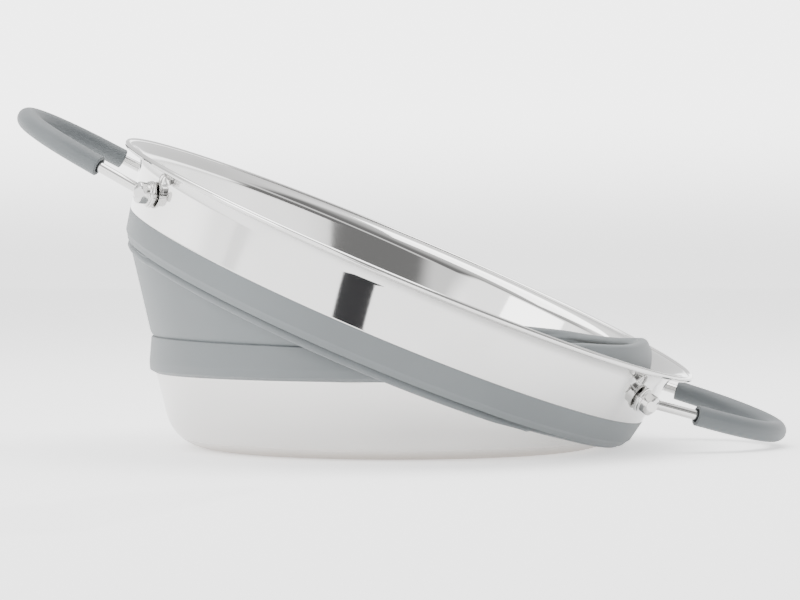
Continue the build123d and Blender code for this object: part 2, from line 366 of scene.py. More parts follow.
def around(nodes):
    """Object coordinates: the vector, the height and a vector stretched round the pot's axis."""
    place = nodes.make("ShaderNodeTexCoord", output="Object")
    split = nodes.put("ShaderNodeSeparateXYZ", inputs={0: place})
    x, y, z = (Value(nodes, split.outputs[index]) for index in range(3))
    turn = y.math("ARCTAN2", x)
    radius = (x * x + y * y).math("SQRT")
    drawn = nodes.make("ShaderNodeCombineXYZ", inputs={
        0: radius * LINES_ACROSS, 1: turn * LINES_ALONG, 2: z * LINES_ACROSS})
    return place, z, drawn


def end_with(nodes, shader):
    """Links the shader to the material's output."""
    nodes.tree.links.new(shader.outputs[0], nodes.put("ShaderNodeOutputMaterial").inputs["Surface"])


def polished_steel():
    """Mirror finish with faint wipe marks and the fine lines of the polishing wheel."""
    made, nodes = material_nodes("polished_steel")
    place, _, drawn = around(nodes)
    lines = nodes.noise(drawn, 1.0, 3.0)
    smears = nodes.noise(place, 22.0, 4.0)
    soft = nodes.band(smears, 0.45, 0.75)
    wave = nodes.noise(place, 9.0, 1.0)
    bump = nodes.make("ShaderNodeBump", inputs={"Strength": 0.05, "Distance": 0.0006, "Height": wave})
    tint = nodes.mix(soft, rgba(finish().steel), rgba([part * SMEARED for part in finish().steel]))
    shader = nodes.put("ShaderNodeBsdfPrincipled", inputs={
        "Base Color": tint, "Metallic": 1.0, "Roughness": 0.045 + lines * 0.03 + soft * 0.05, "Normal": bump})
    end_with(nodes, shader)
    return made


def satin_steel():
    """Softer steel of the base with drawn lines round it, a rougher foot and painted warm shade along the foot.
    """
    made, nodes = material_nodes("satin_steel")
    place, height, drawn = around(nodes)
    lines = nodes.noise(drawn, 1.0, 4.0)
    blotch = nodes.noise(place, 16.0, 3.0)
    # Painted shade: near the floor the base is tinted a darker warm tone that fades out upwards; the same mask
    # also raises the roughness.
    foot = 1 - nodes.band(height, *FOOT_SHADE_HEIGHT)
    dull = rgba([part * BLOTCHED for part in finish().satin])
    clean = nodes.mix(nodes.band(blotch, 0.35, 0.8) * 0.5, rgba(finish().satin), dull)
    tint = nodes.mix(foot * FOOT_SHADE_SHARE, clean, FOOT_SHADE_TONE)
    bump = nodes.make("ShaderNodeBump", inputs={"Strength": 0.08, "Distance": 0.0003, "Height": lines})
    shader = nodes.put("ShaderNodeBsdfPrincipled", inputs={
        "Base Color": tint, "Metallic": 1.0, "Roughness": 0.20 + lines * 0.10 + foot * 0.15, "Normal": bump})
    end_with(nodes, shader)
    return made


def silicone(name, shade):
    """Matte moulded silicone: soft sheen, a little dust and a fine moulded grain."""
    made, nodes = material_nodes(name)
    place = nodes.make("ShaderNodeTexCoord", output="Object")
    cloud = nodes.noise(place, 14.0, 3.0)
    grain = nodes.noise(place, 1400.0, 2.0)
    dust = nodes.make("ShaderNodeTexVoronoi", inputs={"Vector": place, "Scale": 260.0})
    specks = 1 - nodes.band(dust, *SPECK)
    gathered = nodes.noise(place, 60.0)
    sparse = nodes.band(gathered, *SPECK_PLACES)
    base = nodes.mix(nodes.band(cloud, 0.3, 0.7), rgba([part * CLOUDED for part in shade]),
                     rgba([min(part * LIGHTENED, 1) for part in shade]))
    tint = nodes.mix(specks * sparse * SPECK_SHARE, base, SPECK_TONE)
    bump = nodes.make("ShaderNodeBump", inputs={"Strength": 0.12, "Distance": 0.00012, "Height": grain})
    shader = nodes.put("ShaderNodeBsdfPrincipled", inputs={
        "Base Color": tint, "Roughness": 0.50 + cloud * 0.14, "Normal": bump,
        "Sheen Weight": 0.12, "Sheen Roughness": 0.45, "Specular IOR Level": 0.42})
    end_with(nodes, shader)
    return made


MATERIALS = {}


def material(name):
    """Each finish is made once."""
    if name not in MATERIALS:
        makers = {
            "polished": polished_steel,
            "satin": satin_steel,
            "silicone": lambda: silicone("silicone", finish().silicone),
            "grip": lambda: silicone("grip_silicone", finish().grip),
        }
        MATERIALS[name] = makers[name]()
    return MATERIALS[name]


def geometry_tree(name, extra_inputs):
    """Empty geometry tree with a Geometry input and output and the named inputs."""
    tree = bpy.data.node_groups.new(name, "GeometryNodeTree")
    tree.interface.new_socket("Geometry", in_out="INPUT", socket_type="NodeSocketGeometry")
    for title, kind in extra_inputs:
        tree.interface.new_socket(title, in_out="INPUT", socket_type=kind)
    tree.interface.new_socket("Geometry", in_out="OUTPUT", socket_type="NodeSocketGeometry")
    return tree


def end_tree(nodes, geometry):
    """Makes the instances real, sets the given material and links the output."""
    real = nodes.make("GeometryNodeRealizeInstances", inputs={"Geometry": geometry})
    coat = nodes.make("GeometryNodeSetMaterial", inputs={"Geometry": real, "Material": nodes.given("Material")})
    nodes.put("NodeGroupOutput", inputs={"Geometry": coat})


def made_by(tree, mesh, name, values):
    """Plain mesh object that a geometry tree makes from a mesh, with the tree's inputs set by title."""
    source = linked(mesh.name, mesh)
    modifier = source.modifiers.new(tree.name, "NODES")
    modifier.node_group = tree
    for item in tree.interface.items_tree:
        if item.item_type == "SOCKET" and item.in_out == "INPUT" and item.name in values:
            modifier[item.identifier] = values[item.name]
    shaped = source.evaluated_get(bpy.context.evaluated_depsgraph_get())
    made = bpy.data.meshes.new_from_object(shaped)
    made.name = name
    bpy.data.objects.remove(source)
    made.shade_smooth()
    made.set_sharp_from_angle(angle=CREASE)
    return linked(name, made)


# Steel base and lower band.

# Base: shares of the corner's radius that its arc covers, and the joggle where the silicone begins.
ARC_OUT, ARC_UP, CORNER_STEPS = 0.95, 0.8, 12
JOGGLE_IN, JOGGLE_DROP = 0.1 * MM, 0.6 * MM
# Lower band: steel that it laps, bevel at its foot, widest line above that, and taper to its top.
LAP, PRESS = 1.0 * MM, 0.1 * MM
BEVEL, SWELL, SWELL_UP, TAPER = 1.6 * MM, 0.25 * MM, 5 * MM, 0.7 * MM


def base_outline():
    """Centre line of the sheet, from the middle of the bottom out and up to its hidden edge."""
    size = sizes()
    lean = math.atan2(size.base_radius - size.foot_radius - size.base_corner * ARC_OUT,
                      size.base_top - size.base_corner * ARC_UP)
    half = size.base_sheet / 2
    bend = size.base_corner - half
    line = [Vector((0, half)), Vector((size.foot_radius * 0.5, half))]
    for step in range(CORNER_STEPS + 1):
        angle = -math.pi / 2 + (math.pi / 2 - lean) * step / CORNER_STEPS
        line.append(Vector((size.foot_radius + bend * math.cos(angle),
                            size.base_corner + bend * math.sin(angle))))
    top = size.base_radius - half
    return line + [Vector((top - JOGGLE_IN, size.base_top - JOGGLE_DROP)), Vector((top, size.base_top)),
                   Vector((top, size.base_edge))]


def low_band_top(along):
    """Height of the lower band's top at a distance downhill from the base's axis."""
    size = sizes()
    middle = (size.low_band_high + size.low_band_low) / 2
    return middle - (size.low_band_high - size.low_band_low) / 2 * along / size.low_band_radius


class POT_OT_base(bpy.types.Operator):
    """Make the steel base and the lower silicone band"""

    bl_idname = "pot.base"
    bl_label = "Base"

    def execute(self, context):
        size = sizes()
        bowl = turned("steel_base", [thickened(base_outline(), size.base_sheet)], material("satin"))
        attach(bowl, "base")
        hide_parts("base_bowl")

        inner = size.base_radius - size.base_sheet
        wide, foot, top = size.low_band_radius, size.base_top, size.low_band_high
        outline = profile([
            (size.base_radius, foot + LAP, 0),
            (size.base_radius - PRESS, foot - PRESS, 0.2 * MM),
            (wide, foot + BEVEL, 0.7 * MM),
            (wide + SWELL, foot + SWELL_UP, 4 * MM),
            (wide - TAPER, top, 0.8 * MM),
            (inner + PRESS, top, 0.6 * MM),
            (inner, size.base_edge, 0.4 * MM),
            (inner, size.base_edge - LAP, 0),
        ])
        heading, _ = downhill()

        def pulled(point):
            """The band's top, tilted as the fold pulls it."""
            share = min(max((point.z - size.base_edge) / (top - size.base_edge), 0.0), 1.0)
            wanted = low_band_top(Vector(point).dot(heading))
            return Vector((point.x, point.y, point.z + (wanted - top) * share))

        band = turned("lower_silicone_band", [outline], material("silicone"), bend=pulled)
        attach(band, "base")
        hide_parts("lower_band")
        return {"FINISHED"}


# Folding wall.

def smooth(value, low, high):
    """0 below low, 1 above high, smooth between."""
    part = min(max((value - low) / (high - low), 0.0), 1.0)
    return part * part * (3 - 2 * part)


def wall_head(compass, below):
    """Radius and height of a circle of the rim below its lip, in one upright plane."""
    size, place = sizes(), rim_frame()
    heading, _ = downhill()
    normal = place.col[2].to_3d()
    lean = normal.angle(UP)
    centre = place.translation - normal * below
    centre_out = centre.dot(heading)
    a = size.wall_head * math.cos(compass)
    b = size.wall_head * math.cos(lean) * math.sin(compass)
    bearing = math.atan2(b, a) + math.asin(centre_out * math.sin(compass) / math.hypot(a, b))
    along = centre_out + size.wall_head * math.cos(bearing) * math.cos(lean)
    aside = size.wall_head * math.sin(bearing)
    return math.hypot(along, aside), centre.z - size.wall_head * math.cos(bearing) * math.sin(lean)


def spaced(start, end, count, crowding=1.0):
    """Points from start up to, but not including, end; crowding above 1 packs them near the start."""
    parts = [(step / count) ** crowding for step in range(count)]
    return [(start[0] + (end[0] - start[0]) * part, start[1] + (end[1] - start[1]) * part) for part in parts]


# Rows of the wall up the climb, over the crest and down the drop, and columns round the pot.
CLIMB, TURN, DROP = 14, 10, 22
CREST = CLIMB + TURN // 2
COLUMNS = 192
CROWDING = 1.7           # rows are closer at the foot, where the groove is
STRAIGHT_SPLIT = 0.93    # share of an unfolded wall that the climb and half the crest cover
FOOT_SINK, HEAD_SINK = 0.15 * MM, 0.1 * MM    # wall inside the lower and the upper band
CREST_LEAST = 0.6 * MM   # least height of the crest's sides above the foot
BOW_SHAPE = 0.6          # below 1, the bow is fullest near the crest
# Ranges over which a feature fades in. The first three are cosines of the angle from the low side.
SLACK_SIDE, LOW_SIDE, PLEAT_SIDE = (-0.55, 0.2), (-0.3, 0.8), (0.2, 0.95)
BOW_FALL, FOLD_FALL = (20 * MM, 44 * MM), (0.5 * MM, 9 * MM)
GROOVE_HEIGHT = (0.4 * MM, 2.4 * MM)
# Pleats: waves round the pot, phase and share of the depth; fine ones have a share of the main ones.
PLEAT, FINE_PLEAT, PLEAT_RISE = (11, 0.8, 0.5), (19, -1.1, 0.6), (7, 0.4, 0.4)
PLEAT_BELOW = 0.4        # share of the pleats that is left on the drop
# Rim over the wall: silicone inside the ring, gap to bare steel, and the band's edge above its line.
BAND_SKIN, STEEL_GAP, BAND_EDGE = 4.0 * MM, 0.6 * MM, 1 * MM
# Rib: rows, room above the table that it needs, and its corners outwards from the wall's head.
RIB_ROWS, RIB_ROOM = 9, (8 * MM, 20 * MM)
RIB_OUT, RIB_LIP, RIB_TUCK, RIB_UNDERCUT = 2.6 * MM, 1.6 * MM, 0.9 * MM, 0.3


def wall_line(compass):
    """Centre line of the wall in one upright plane: up the climb, over the crest and down the drop."""
    size = sizes()
    foot = (size.wall_foot, low_band_top(size.wall_foot * math.cos(compass)) - FOOT_SINK)
    head = wall_head(compass, size.band_bottom - HEAD_SINK)
    bend = size.crest_round
    slack = 1 - size.crest_slack * smooth(math.cos(compass), *SLACK_SIDE)
    rise = max((size.wall_length + head[1] - foot[1]) / 2 * slack, bend + CREST_LEAST)
    fall = foot[1] + rise - head[1]
    low_side = smooth(math.cos(compass), *LOW_SIDE)
    share = rise / (rise + max(fall, 0.0))
    crest = foot[0] + (head[0] - foot[0]) * share
    crest += (size.crest_radius - bend - crest) * low_side
    top = foot[1] + rise - bend
    climb = spaced(foot, (crest - bend, top), CLIMB, CROWDING)
    turns = [math.pi * (1 - step / TURN) for step in range(TURN)]
    over = [(crest + bend * math.cos(angle), top + bend * math.sin(angle)) for angle in turns]
    drop = spaced((crest + bend, top), head, DROP) + [head]
    bow = size.crest_bow * low_side * smooth(fall, *BOW_FALL)
    drop = [(radius + bow * math.sin(math.pi * (step / DROP) ** BOW_SHAPE), height)
            for step, (radius, height) in enumerate(drop)]
    folded = smooth(fall, *FOLD_FALL)
    split = [foot[axis] + (head[axis] - foot[axis]) * STRAIGHT_SPLIT for axis in (0, 1)]
    straight = spaced(foot, split, CREST, CROWDING) + spaced(split, head, TURN + CLIMB - CREST + DROP) + [head]
    line = [(bent[0] * folded + flat[0] * (1 - folded), bent[1] * folded + flat[1] * (1 - folded))
            for bent, flat in zip(climb + over + drop, straight)]
    return line, folded


def inside_rim(compass, radius, height):
    """The same radius, drawn in where the wall would press into the rim."""
    size, place = sizes(), rim_frame()
    heading, across = downhill()
    spot = heading * (radius * math.cos(compass)) + across * (radius * math.sin(compass)) + UP * height
    local = place.inverted() @ spot
    depth = -local.z
    if depth > size.band_bottom:
        return radius
    skin = BAND_SKIN if depth > size.band_line - BAND_EDGE else size.ring_sheet + STEEL_GAP
    limit = ring_radius(depth) - skin - size.wall_thickness / 2
    return radius - max(math.hypot(local.x, local.y) - limit, 0.0) / place.col[2].to_3d().dot(UP)


def wave(kind, angle):
    """A wave round the pot at an angle, from its number of waves and its phase."""
    return math.sin(angle * kind[0] + kind[1])


def wall_grid(columns):
    """Centre points of the whole wall, column by column round the pot."""
    heading, across = downhill()
    size = sizes()
    centres = []
    for column in range(columns):
        compass = 2 * math.pi * column / columns
        signed = compass if compass <= math.pi else compass - 2 * math.pi
        line, folded = wall_line(abs(signed))
        out = heading * math.cos(compass) + across * math.sin(compass)
        low = smooth(math.cos(compass), *PLEAT_SIDE)
        ripple = wave(PLEAT, signed) + FINE_PLEAT[2] * wave(FINE_PLEAT, signed)
        points = []
        for index, (radius, height) in enumerate(line):
            radius = inside_rim(abs(signed), radius, height)
            if index <= CREST:
                near_crest, share = smooth(index / CREST, 0.0, 1.0), 1.0
            else:
                near_crest, share = 1 - smooth((index - CREST) / DROP, 0.0, 0.5), PLEAT_BELOW
            depth = size.pleat_depth * low * near_crest
            radius -= depth * PLEAT[2] * (ripple + 1.0) * share
            height += depth * PLEAT_RISE[2] * wave(PLEAT_RISE, signed)
            if index <= CREST:
                radius -= size.foot_groove * (1 - smooth(height - line[0][1], *GROOVE_HEIGHT))
            points.append(out * radius + UP * height)
        add_rib(points, folded)
        centres.append(points)
    return centres


def add_rib(points, folded):
    """Rolls the wall's last rows into the rib that hangs under the upper band."""
    place = rim_frame()
    head = points[-1]
    local = place.inverted() @ head
    outward = (place.to_3x3() @ Vector((local.x, local.y, 0))).normalized()
    drop = -place.col[2].to_3d() * sizes().rib_drop * smooth(head.z, *RIB_ROOM)
    first = len(points) - 1 - RIB_ROWS
    start = points[first]
    inset, reach, lean = (1.0 * MM, 0.6, 0.6 * MM) if folded > 0.5 else (0.2 * MM, 0.7, 0.0)
    bottom = head - outward * inset + drop
    guide = [start, start.lerp(bottom, reach) - outward * lean, bottom, head + outward * RIB_OUT + drop,
             head + outward * RIB_LIP + drop * RIB_UNDERCUT, head - outward * RIB_TUCK]
    for step in range(RIB_ROWS + 1):
        points[first + step] = bezier(guide, step / RIB_ROWS)


def bezier(guide, part):
    """Point on the Bezier curve of any number of guide points."""
    layer = [Vector(point) for point in guide]
    while len(layer) > 1:
        layer = [first.lerp(second, part) for first, second in zip(layer, layer[1:])]
    return layer[0]


def wall_shell(name, centres, first, last, parent, driver):
    """Closed shell of the wall's rows first to last; it rides parent and its far edge follows driver."""
    columns, rows = len(centres), last - first + 1
    points, normals = [], []
    for column, here in enumerate(centres):
        before, after = centres[column - 1], centres[(column + 1) % columns]
        for row in range(first, last + 1):
            run = here[min(row + 1, len(here) - 1)] - here[max(row - 1, 0)]
            normals.append((after[row] - before[row]).cross(run).normalized())
            points.append(here[row])
    half = sizes().wall_thickness / 2
    outer = [point + normal * half for point, normal in zip(points, normals)]
    inner = [point - normal * half for point, normal in zip(points, normals)]
    faces = []
    shift = len(points)
    for column in range(columns):
        here, there = column * rows, (column + 1) % columns * rows
        for row in range(rows - 1):
            quad = (here + row, there + row, there + row + 1, here + row + 1)
            faces.append(quad)
            faces.append((shift + quad[0], shift + quad[3], shift + quad[2], shift + quad[1]))
        for row, flip in ((0, False), (rows - 1, True)):
            rim = (here + row, shift + here + row, shift + there + row, there + row)
            faces.append(rim[::-1] if flip else rim)
    mesh = bpy.data.meshes.new(name)
    mesh.from_pydata([tuple(point) for point in outer + inner], [], faces)
    mesh.materials.append(material("silicone"))
    mesh.shade_smooth()
    mesh.normals_split_custom_set_from_vertices([tuple(n) for n in normals] + [tuple(-n) for n in normals])
    piece = linked(name, mesh)

    # Weights rise from 0 to 1 along each column, by distance.
    group = piece.vertex_groups.new(name="fold")
    for start in range(0, shift, rows):
        walked = [0.0]
        for row in range(start + 1, start + rows):
            walked.append(walked[-1] + (points[row] - points[row - 1]).length)
        for row in range(rows):
            group.add([start + row, shift + start + row], walked[row] / walked[-1], "REPLACE")
    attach(piece, parent)
    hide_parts("folding_wall")
    hook = piece.modifiers.new("follow", "HOOK")
    hook.object = bpy.data.objects["body:" + driver]
    hook.vertex_group = "fold"
    hook.falloff_type = "NONE"
    hook.strength = 1.0
    hook.matrix_inverse = Matrix.Identity(4)


class POT_OT_wall(bpy.types.Operator):
    """Make the folding silicone wall as the part that stands and the part that hangs from the rim"""

    bl_idname = "pot.wall"
    bl_label = "Folding Wall"

    def execute(self, context):
        centres = wall_grid(COLUMNS)
        wall_shell("wall_standing", centres, 0, CREST, "base", "fold")
        wall_shell("wall_hanging", centres, CREST, len(centres[0]) - 1, "fold", "rim")
        return {"FINISHED"}


# Rim ring and upper band.

# Ring's hidden edge inside the band, the step above it, and the flange's root below the bead.
EDGE_DEPTH, EDGE_IN = 35.5 * MM, 2.2 * MM
STEP_DROP, STEP_IN = 1.8 * MM, 1.4 * MM
FLANGE_DROP = 0.6 * MM
# Upper band: silicone outside the steel at its top, and steel outside it at the corner.
PROUD, SUNK, TOP_LAP = 0.15 * MM, 0.1 * MM, 0.1 * MM
CORNER_IN, CORNER_HALF = 1.0 * MM, 0.6 * MM
# Its foot round the wall's head, and its cover and seal inside the ring.
FOOT_OUT, FOOT_WIDTH, FOOT_NECK = 1.5 * MM, 1.3 * MM, 0.6 * MM
COVER_IN, COVER_DROP = 3.3 * MM, 2.4 * MM
SEAL_IN, SEAL_EDGE, SEAL_DROP = 2.5 * MM, 1.7 * MM, 1.2 * MM
TOP_IN = 1.2 * MM


def ring_radius(depth):
    """Outside radius of the steel ring's side at a depth below the lip."""
    size = sizes()
    return size.side_radius - size.ring_slope * (depth - size.pivot_depth)


class POT_OT_rim(bpy.types.Operator):
    """Make the polished ring with its rolled edge and the upper silicone band"""

    bl_idname = "pot.rim"
    bl_label = "Rim"

    def execute(self, context):
        size = sizes()
        place = rim_frame()
        half, bead = size.ring_sheet / 2, size.bead_radius
        step = size.band_line + STEP_DROP
        line = profile([
            (ring_radius(EDGE_DEPTH) - EDGE_IN, -EDGE_DEPTH, 0),
            (ring_radius(step) - half - STEP_IN, -step, 2 * MM),
            (ring_radius(size.band_line) - half, -size.band_line, 2 * MM),
            (ring_radius(0) - half, -bead - FLANGE_DROP, size.flange_round),
            (size.lip_radius - bead, -bead, 0),
        ], steps=14)
        rolled = circle((size.lip_radius - bead, -bead), bead)
        ring = turned("polished_rim", [thickened(line, size.ring_sheet), rolled], material("polished"), place)
        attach(ring, "rim")
        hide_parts("rim_ring")

        top, low = ring_radius(size.band_line) + PROUD, ring_radius(size.band_corner) - SUNK
        foot = size.wall_head + FOOT_OUT
        edge, corner, bottom = -size.band_line, -size.band_corner, -size.band_bottom
        outline = profile([
            (top - TOP_IN, edge + TOP_LAP, 0),
            (top, edge + TOP_LAP, 0.35 * MM),
            (low, corner + CORNER_HALF, 1.0 * MM),
            (low - CORNER_IN, corner - CORNER_HALF, 0.8 * MM),
            (foot, bottom, 0.6 * MM),
            (foot - FOOT_WIDTH, bottom, 0.4 * MM),
            (foot - FOOT_NECK, corner, 3 * MM),
            (top - COVER_IN, edge - COVER_DROP, 0.6 * MM),
            (top - SEAL_IN, edge - SEAL_DROP, 0.3 * MM),
            (top - SEAL_EDGE, edge - SEAL_DROP, 0),
        ])
        band = turned("upper_silicone_band", [outline], material("silicone"), place)
        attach(band, "rim")
        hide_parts("upper_band")
        return {"FINISHED"}


# Lugs.

# Section of a lug in millimetres, from inside the ring outwards, as (radius, height, round).
LUG_SECTION = (
    (0.0, -0.5, 0), (3.6, -0.5, 0.1), (3.4, 1.0, 0.3),     # weld
    (5.9, 1.0, 0.3), (5.9, 2.0, 0.1),                      # flange
    (5.5, 2.2, 0.1), (5.5, 3.2, 0.3),                      # collar
    (4.7, 3.2, 0.25), (4.8, 7.4, 1.1), (2.6, 8.75, 2.4), (0.0, 8.8, 0),    # domed head
)
LUG_SIDES = 40
BORE_OUT = 6.2 * MM      # wire's bore from the ring's side, along the lug


def lug_tree():
    """Copies the lug to each point, turned as the point's attribute says."""
    tree = geometry_tree("lugs_on_ring", (("Lug", "NodeSocketObject"), ("Material", "NodeSocketMaterial")))
    nodes = Nodes(tree)
    lug = nodes.make("GeometryNodeObjectInfo", inputs={"Object": nodes.given("Lug")}, output="Geometry")
    turn = nodes.make("GeometryNodeInputNamedAttribute", {"data_type": "FLOAT_VECTOR"}, {"Name": "lug_turn"},
                      output="Attribute")
    end_tree(nodes, nodes.make("GeometryNodeInstanceOnPoints", inputs={
        "Points": nodes.given("Geometry"), "Instance": lug, "Rotation": turn}))
    return tree


def lug_bearing():
    """Angle of a lug round the ring, and its lean below the rim's plane."""
    size = sizes()
    slope = math.atan2(size.ring_slope, 1)
    return math.acos(size.pivot_out / (size.side_radius + BORE_OUT * math.cos(slope))), slope


def lug_template():
    """One lug with its axis along Z, for the tree to copy."""
    outline = profile([[part * MM for part in corner] for corner in LUG_SECTION], steps=5)
    vertices, faces = [], []
    count = len(outline)
    for step in range(LUG_SIDES):
        angle = 2 * math.pi * step / LUG_SIDES
        vertices += [polar(point.x, angle, point.y) for point in outline]
        for index in range(count - 1):
            here, there = step * count + index, (step + 1) % LUG_SIDES * count + index
            faces.append((here, there, there + 1, here + 1))
    return new_piece("lug_template", vertices, faces, material("polished"))


class POT_OT_lugs(bpy.types.Operator):
    """Make the four lugs that carry the handles"""

    bl_idname = "pot.lugs"
    bl_label = "Handle Lugs"

    def execute(self, context):
        size, place = sizes(), rim_frame()
        template = lug_template()
        bearing, slope = lug_bearing()
        depth = size.pivot_depth - BORE_OUT * math.sin(slope)
        points, turns = [], []
        for angle in (bearing, -bearing, math.pi - bearing, math.pi + bearing):
            out = polar(math.cos(slope), angle, -math.sin(slope))
            points.append(place @ polar(size.side_radius, angle, -depth))
            turns.append((place.to_3x3() @ out).to_track_quat("Z", "Y").to_euler())
        mesh = bpy.data.meshes.new("lug_points")
        mesh.from_pydata([tuple(point) for point in points], [], [])
        attribute = mesh.attributes.new("lug_turn", "FLOAT_VECTOR", "POINT")
        for item, turn in zip(attribute.data, turns):
            item.vector = tuple(turn)
        lugs = made_by(lug_tree(), mesh, "handle_lugs", {"Lug": template, "Material": material("polished")})
        bpy.data.objects.remove(template)
        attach(lugs, "rim")
        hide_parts("lug_right_front", "lug_right_back", "lug_left_front", "lug_left_back")
        return {"FINISHED"}


# Handles.

# Wire: end past the lug's bore, bend into the leg, and sides.
WIRE_PAST, WIRE_BEND, WIRE_SIDES = 5.4 * MM, 4.5 * MM, 32
# Grip: steps along its legs and its bend, sides, and depth of the parting line.
LEG_STEPS, BEND_STEPS, GRIP_SIDES, PARTING = 10, 64, 48, 0.10 * MM
# Its mouths: recess round the wire, soft edge, and how far the silicone presses into the wire.
RECESS, RECESS_DEPTH, SOFT_EDGE, SQUEEZE = 0.85 * MM, 1.8 * MM, 0.3 * MM, 0.1 * MM


def wire_tree():
    """Sweeps a round wire along the edges of its input."""
    tree = geometry_tree("wire_on_path", (("Radius", "NodeSocketFloat"), ("Sides", "NodeSocketInt"),
                                          ("Material", "NodeSocketMaterial")))
    nodes = Nodes(tree)
    path = nodes.make("GeometryNodeMeshToCurve", inputs={"Mesh": nodes.given("Geometry")})
    ring = nodes.make("GeometryNodeCurvePrimitiveCircle", inputs={
        "Radius": nodes.given("Radius"), "Resolution": nodes.given("Sides")})
    end_tree(nodes, nodes.make("GeometryNodeCurveToMesh", inputs={
        "Curve": path, "Profile Curve": ring, "Fill Caps": True}))
    return tree


def loop_points(steps=48):
    """Round end of the handle in its own plane, from one straight leg to the other."""
    size = sizes()
    lean = size.leg_flare
    radius = (size.leg_gap * math.cos(lean) - size.loop_reach * math.sin(lean)) / (1 - math.sin(lean))
    centre = size.loop_reach - radius
    start, end = math.pi / 2 - lean, -math.pi / 2 + lean
    angles = [start + (end - start) * step / steps for step in range(steps + 1)]
    return [Vector((centre + radius * math.cos(angle), radius * math.sin(angle))) for angle in angles]


def handle_frame(side):
    """Frame of a handle: origin at its pivot, X out along it, Y from one lug to the other."""
    size = sizes()
    turn = Matrix.Rotation(0 if side > 0 else math.pi, 4, "Z")
    lift = Matrix.Rotation(-size.handle_rise, 4, "Y")
    return rim_frame() @ turn @ Matrix.Translation((size.pivot_out, 0, -size.pivot_depth)) @ lift


def grip_mesh(name, place):
    """Moulded grip: round with a faint parting line and square mouths recessed round the wire."""
    size = sizes()
    mouth = Vector((size.grip_start, size.leg_gap - size.grip_start * math.tan(size.leg_flare)))
    curve = loop_points(BEND_STEPS)
    leg = [mouth.lerp(curve[0], step / LEG_STEPS) for step in range(LEG_STEPS)]
    path = [point.to_3d() for point in leg + curve + [Vector((point.x, -point.y)) for point in leg[::-1]]]
    last = len(path) - 1
    runs = [(path[min(index + 1, last)] - path[max(index - 1, 0)]).normalized() for index in range(last + 1)]

    def section(index, along, radius, dent=0.0):
        """Ring of points square to the path, some way along it from one of its points."""
        run = runs[index]
        centre = path[index] + run * along
        side = Vector((-run.y, run.x, 0))
        points = []
        for step in range(GRIP_SIDES):
            angle = 2 * math.pi * step / GRIP_SIDES
            reach = radius - (dent if step in (0, GRIP_SIDES // 2) else 0.0)
            points.append(centre + side * (reach * math.cos(angle)) + UP * (reach * math.sin(angle)))
        return points

    bore, hole, outside = size.wire_radius - SQUEEZE, size.wire_radius + RECESS, size.grip_radius
    rings = [(RECESS_DEPTH, bore, 0.0), (RECESS_DEPTH, hole, 0.0), (0.0, hole, 0.0),
             (0.0, outside - SOFT_EDGE, 0.0), (SOFT_EDGE, outside, PARTING)]
    sections = [section(0, *ring) for ring in rings]
    sections += [section(index, 0.0, outside, PARTING) for index in range(1, last)]
    sections += [section(last, -along, radius, dent) for along, radius, dent in rings[::-1]]
    sections += [section(index, 0.0, bore) for index in range(last - 1, 0, -1)]
    vertices = [point for ring in sections for point in ring]
    faces = []
    for index in range(len(sections)):
        here, there = index * GRIP_SIDES, (index + 1) % len(sections) * GRIP_SIDES
        for step in range(GRIP_SIDES):
            beside = (step + 1) % GRIP_SIDES
            faces.append((here + step, there + step, there + beside, here + beside))
    return new_piece(name, vertices, faces, material("grip"), place)


class POT_OT_handles(bpy.types.Operator):
    """Make the two wire handles and their grips"""

    bl_idname = "pot.handles"
    bl_label = "Handles"

    def execute(self, context):
        size = sizes()
        tree = wire_tree()
        bearing, _ = lug_bearing()
        end = size.pivot_out * math.tan(bearing) + WIRE_PAST
        curve = loop_points()
        leg = rounded([(0, end), (0, size.leg_gap), curve[0]], [WIRE_BEND], steps=10)[:-1]
        path = leg + curve + [Vector((point.x, -point.y)) for point in leg[::-1]]
        for side, name in ((1, "right"), (-1, "left")):
            place = handle_frame(side)
            mesh = bpy.data.meshes.new("wire_path_" + name)
            edges = [(index, index + 1) for index in range(len(path) - 1)]
            mesh.from_pydata([tuple(place @ point.to_3d()) for point in path], edges, [])
            wire = made_by(tree, mesh, "wire_" + name, {
                "Radius": size.wire_radius, "Sides": WIRE_SIDES, "Material": material("polished")})
            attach(wire, "handle_" + name)
            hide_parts("handle_wire_" + name)
            grip = grip_mesh("moulded_grip_" + name, place)
            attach(grip, "handle_" + name)
            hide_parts("grip_" + name)
        return {"FINISHED"}


# Studio.

# The room that the steel mirrors: brightness of each part, and the ranges over which it fades in. The
# ranges are the Y or Z of a direction; the side light's are radians round the pot from the front.
ROOM = 0.28
CEILING, CEILING_FROM = 0.9, (0.55, 0.9)
WALL, WALL_FROM = 1.2, (-0.12, 0.2)
SCREEN, SCREEN_TOP = 1.05, (0.108, 0.16)
GLOW, GLOW_FROM = 1.95, (0.0, 0.06)
SIDE, SIDE_AT, SIDE_EDGE, SIDE_FOOT, SIDE_TOP = 2.9, -1.02, (0.62, 0.8), (-0.06, 0.0), (0.6, 0.7)
STREAK, STREAK_FOOT, STREAK_TOP = 1.3, (0.24, 0.3), (0.34, 0.4)
# Softboxes: name, place and size in metres, and power in watts.
SOFTBOXES = (
    ("top_softbox", (0.0, 0.1, 1.5), (1.6, 1.2), 30),
    ("left_softbox", (-1.5, -0.9, 0.8), (1.0, 1.0), 12),
)
SOFTBOX_AIM = (0, 0, 0.05)
# Floor: half its width in metres, how far it lies below the base's underside, and its own light.
FLOOR_HALF, FLOOR_DROP, FLOOR_LIGHT = 7.0, 0.2 * MM, 0.9
# Card on the floor in front of the pot that only the steel mirrors: corners in millimetres and colour.
CARD_CORNERS, CARD_RISE = ((-228, -443), (-102, -380), (-46, -213), (-98, -239)), 1 * MM
CHARCOAL = (0.03, 0.03, 0.032, 1.0)
